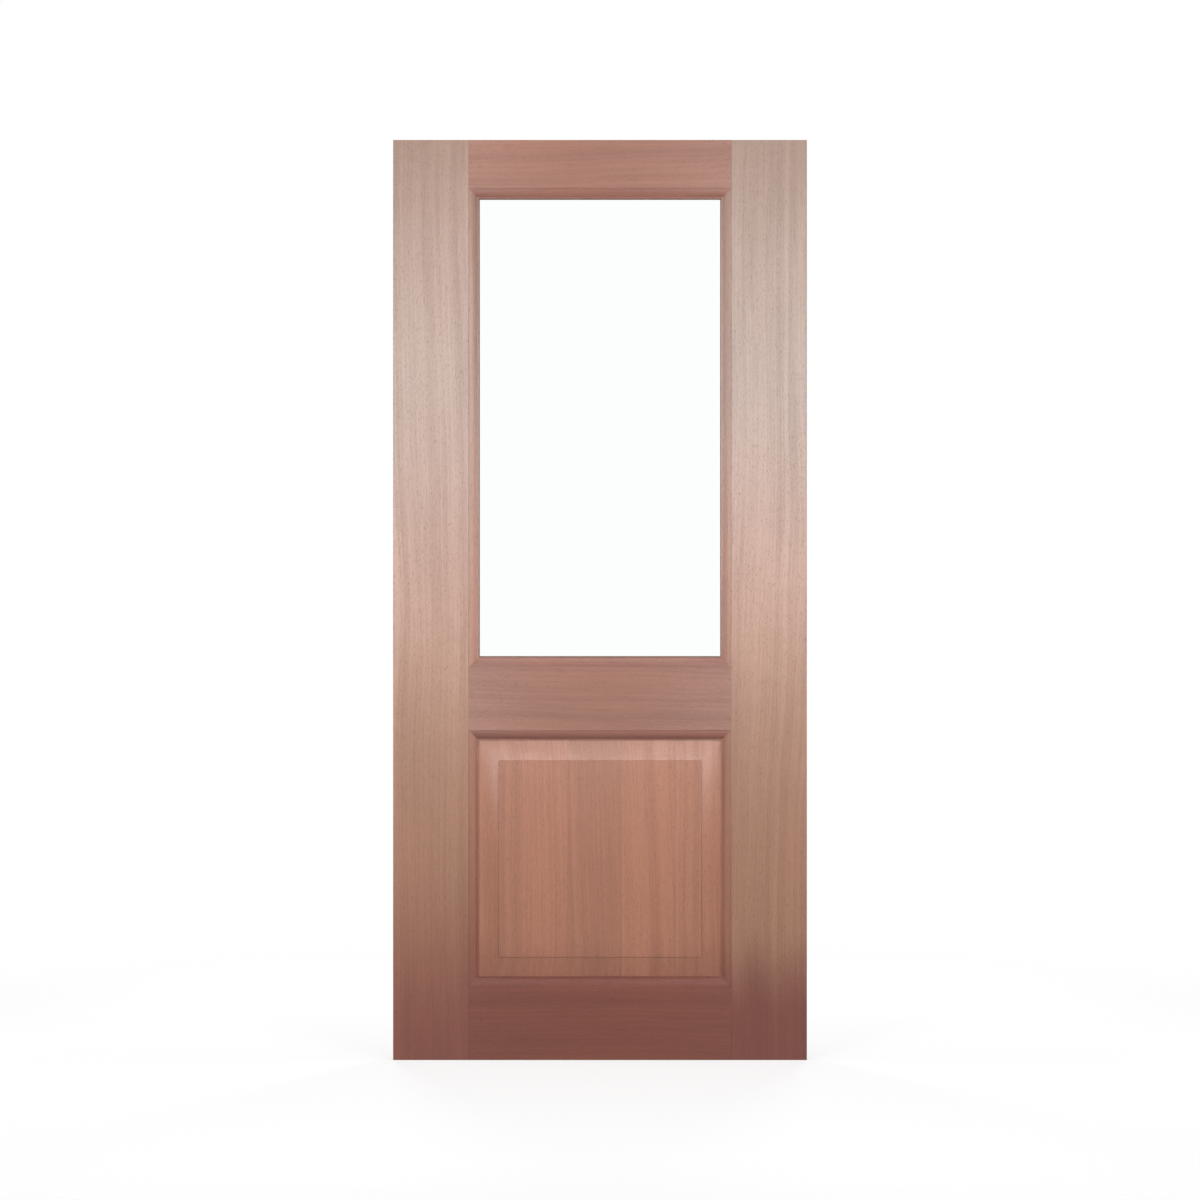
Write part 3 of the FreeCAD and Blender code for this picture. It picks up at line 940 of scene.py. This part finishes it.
FILLETS = {"front_sealant": (LIP_FRONT, GLASS_FRONT), "back_sealant": (BEAD_FOOT, GLASS_BACK)}
sealant = rubbery_sealant()
for name, (wood, glass) in FILLETS.items():
    new_piece(name, carried_round(name, fillet_profile(wood, glass)), sealant)
print("fillets:", list(FILLETS))

# %% [markdown]
# ## Floor
#
# The leaf stands on a pale floor that has no edge. A large white plane would do, but it would throw
# much light back at the leaf's foot. So this floor is white for the eye and dark for the light that
# bounces off it. Near the leaf a part of its white is paint that takes the shadow, and far out it fades
# to clear, where the white surround shows.

# %% Floor
FLOOR_CENTRE, FLOOR_RADIUS = Vector((LEAF_CENTRE.x, 0, 0)), 3.0
FLOOR_RINGS, FLOOR_SPOKES = 8, 64
# How far from its centre the floor starts to fade, and where it has gone.
FADE = (1.2, 2.8)
WHITE = (1.0, 1.0, 1.0)
PAINT_SEEN, PAINT_UNSEEN = (0.88, 0.88, 0.88), (0.16, 0.16, 0.155)
# The share of plain white beside the leaf. The rest is paint.
WHITE_NEAR = 0.66


def pale_floor():
    """White where the eye meets it, darker where the leaf keeps the light off, and clear far out."""
    r = Recipe("pale_floor")
    place = r.arrow("SUBTRACT", place_on_leaf(r), tuple(FLOOR_CENTRE))
    far = r.spread(r.arrow("LENGTH", place, out="Value"), *FADE)
    seen = rays(r, "Is Camera Ray")
    mirrored = rays(r, "Is Glossy Ray", "Is Transmission Ray")
    white = r.step("Emission", {"Color": opaque(WHITE), "Strength": 1.0})
    paint = r.step("BsdfDiffuse", {"Color": r.blend(seen, opaque(PAINT_UNSEEN), opaque(PAINT_SEEN))})
    share = r.sum("MULTIPLY", seen, r.spread(far, 0.0, 1.0, WHITE_NEAR, 1.0))
    shown = r.step("MixShader", {0: r.sum("MAXIMUM", share, mirrored), 1: paint, 2: white})
    clear = r.step("BsdfTransparent", {})
    below = r.step("NewGeometry", {}, out="Backfacing")
    return r.finish(r.step("MixShader", {0: r.sum("MAXIMUM", far, below), 1: shown, 2: clear}))


def disc(name, centre, radius):
    """A flat disc. Ring i lies at radius * i / rings and spoke j at angle 2 pi j / spokes."""
    distance = radius * np.arange(1, FLOOR_RINGS + 1) / FLOOR_RINGS
    angle = 2 * math.pi * np.arange(FLOOR_SPOKES) / FLOOR_SPOKES
    across = centre.x + distance[:, None] * np.cos(angle)
    along = centre.y + distance[:, None] * np.sin(angle)
    points = np.stack([across, along, np.full_like(across, centre.z)], axis=-1).reshape(-1, 3)
    i, j = np.meshgrid(np.arange(FLOOR_RINGS - 1), np.arange(FLOOR_SPOKES), indexing="ij")
    inner, outer, j_next = i * FLOOR_SPOKES, (i + 1) * FLOOR_SPOKES, (j + 1) % FLOOR_SPOKES
    quads = np.stack([inner + j, outer + j, outer + j_next, inner + j_next], axis=-1)
    mesh = bpy.data.meshes.new(name)
    mesh.from_pydata(points.tolist(), [], quads.reshape(-1, 4).tolist() + [list(range(FLOOR_SPOKES))])
    return mesh


floor = bpy.data.objects.new("floor", disc("floor", FLOOR_CENTRE, FLOOR_RADIUS))
floor.data.materials.append(pale_floor())
scene.collection.objects.link(floor)
print("floor of radius", FLOOR_RADIUS, "m")

# %% [markdown]
# ## Light
#
# Even light shows the timber as it is. A bright world alone would be even, but flat and without a
# sheen. So the world is white to the eye and dim as a lamp, and the light comes from tall soft lamps.
# Two stand in front of the leaf, to the left and the right, where the satin varnish of the stiles
# mirrors them: the stiles carry a broad sheen, and the rails between them less. Two more do the same
# for the back, two light the edges, and a high one the top. They hang above the middle of the leaf, so
# that the light falls off towards the foot.

# %% White surround
DIM = 0.06


def white_surround():
    """White where the eye, a mirror image or a look through glass meets it, and dim as a lamp."""
    r = Recipe(bpy.data.worlds.new("studio"))
    dim = r.step("Background", {"Color": opaque(WHITE), "Strength": DIM})
    white = r.step("Background", {"Color": opaque(WHITE), "Strength": 1.0})
    shown = rays(r, "Is Camera Ray", "Is Glossy Ray", "Is Transmission Ray")
    return r.finish(r.step("MixShader", {0: shown, 1: dim, 2: white}))


scene.world = white_surround()
print("world", scene.world.name, "gives light of strength", DIM)

# %% Soft lamps
# For each pair where its right lamp stands and where it looks, both from the leaf's middle line, and
# its width, height and radiance. The left lamp is its mirror image.
LAMP_PAIRS = {
    "front": ((0.95, -2.2, 1.48), (0.70, 0.0, 1.45), 1.10, 1.35, 7.2),
    "back": ((0.90, 2.2, 1.42), (0.50, 0.0, 1.30), 0.62, 1.35, 13.0),
    "side": ((2.4, 0.0, 1.30), (0.0, 0.0, 1.10), 0.60, 1.40, 7.0),
}
HIGH_LAMP = ((0.0, -0.5, 3.9), (0.0, 0.0, 1.0), 1.8, 0.9, 5.0)


def soft_lamp(name, side, stand, look, width, height, radiance):
    """A rectangular lamp on one side, -1 or 1, of the middle line. Its power is radiance * pi * area."""
    place, towards = (Vector((LEAF_CENTRE.x + side * x, y, z)) for x, y, z in (stand, look))
    data = bpy.data.lights.new(name, "AREA")
    data.shape = "RECTANGLE"
    data.size, data.size_y = width, height
    data.energy = radiance * math.pi * width * height
    lamp = bpy.data.objects.new(name, data)
    scene.collection.objects.link(lamp)
    lamp.location = place
    lamp.rotation_euler = (towards - place).to_track_quat("-Z", "Y").to_euler()
    lamp.visible_camera = False
    lamp.visible_transmission = False


for side, hand in ((-1, "left"), (1, "right")):
    for name, pair in LAMP_PAIRS.items():
        soft_lamp(name + "_" + hand, side, *pair)
soft_lamp("high", 1, *HIGH_LAMP)

# %% [markdown]
# ## Camera
#
# The photograph looks straight at the front: its uprights don't converge and no edge shows. A camera
# near the leaf would show the insides of the mouldings, so this one stands well back, level with the
# leaf's middle. The length of its lens follows from how far it stands and how much height the picture
# shows.

# %% Camera
CAMERA_DISTANCE = 7.0
FRAME_HEIGHT = 2.65
SENSOR = 36.0
FARTHEST_SEEN = 100
camera = bpy.data.objects.new("camera", bpy.data.cameras.new("camera"))
scene.collection.objects.link(camera)
camera.data.sensor_width = SENSOR
camera.data.lens = SENSOR * CAMERA_DISTANCE / FRAME_HEIGHT
camera.location = (LEAF_CENTRE.x, cad_low.y - CAMERA_DISTANCE, LEAF_CENTRE.z)
camera.rotation_euler = (math.pi / 2, 0, 0)
camera.data.clip_end = FARTHEST_SEEN
scene.camera = camera
scene.view_settings.view_transform = "Standard"
print("lens", round(camera.data.lens, 1), "mm")

# %% [markdown]
